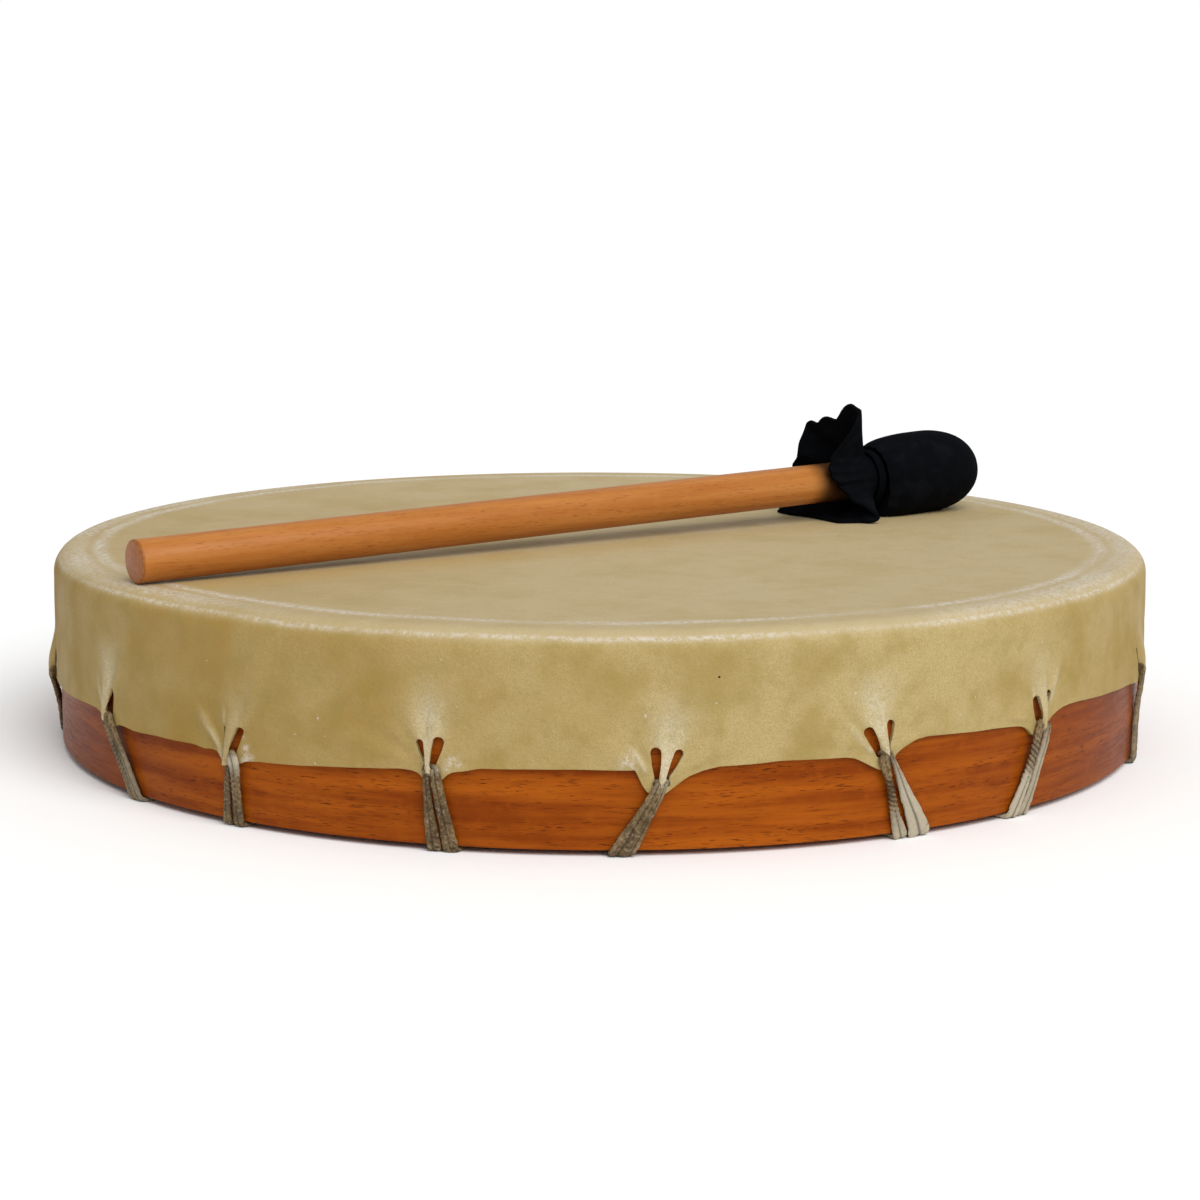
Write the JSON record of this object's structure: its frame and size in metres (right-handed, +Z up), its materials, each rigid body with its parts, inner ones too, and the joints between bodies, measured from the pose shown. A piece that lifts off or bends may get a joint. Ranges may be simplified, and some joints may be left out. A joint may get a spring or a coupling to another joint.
{
  "type": "shaman drum",
  "caption": "Round hand-held frame drum: a rawhide head laced over a varnished bent-wood hoop, with a padded beater lying across the head.",
  "frame": {"origin": "middle of the drum's footprint, on the surface that it lies on", "axes": "+Z up through the drumhead, along the drum's own axis; -Y towards the side that the picture shows as the front; +X towards the beater's head"},
  "size_m": [0.4019, 0.4028, 0.1155],
  "materials": {
    "varnished_wood": "satin varnish",
    "rawhide": "natural rawhide, slightly waxy",
    "rawhide_thong": "natural rawhide, matt",
    "dowel_wood": "oiled",
    "black_suede": "matt suede"
  },
  "bodies": {
    "root": {"hoop": "varnished_wood", "drumhead": "rawhide", "lacing_01": "rawhide_thong", "lacing_02": "rawhide_thong", "lacing_03": "rawhide_thong", "lacing_04": "rawhide_thong", "lacing_05": "rawhide_thong", "lacing_06": "rawhide_thong", "lacing_07": "rawhide_thong", "lacing_08": "rawhide_thong", "lacing_09": "rawhide_thong", "lacing_10": "rawhide_thong", "lacing_11": "rawhide_thong", "lacing_12": "rawhide_thong", "lacing_13": "rawhide_thong", "lacing_14": "rawhide_thong", "lacing_15": "rawhide_thong", "lacing_16": "rawhide_thong", "grip_ring": "rawhide_thong", "beater_handle": "dowel_wood", "beater_head": "black_suede", "beater_tie": "black_suede"}
  },
  "joints": []
}
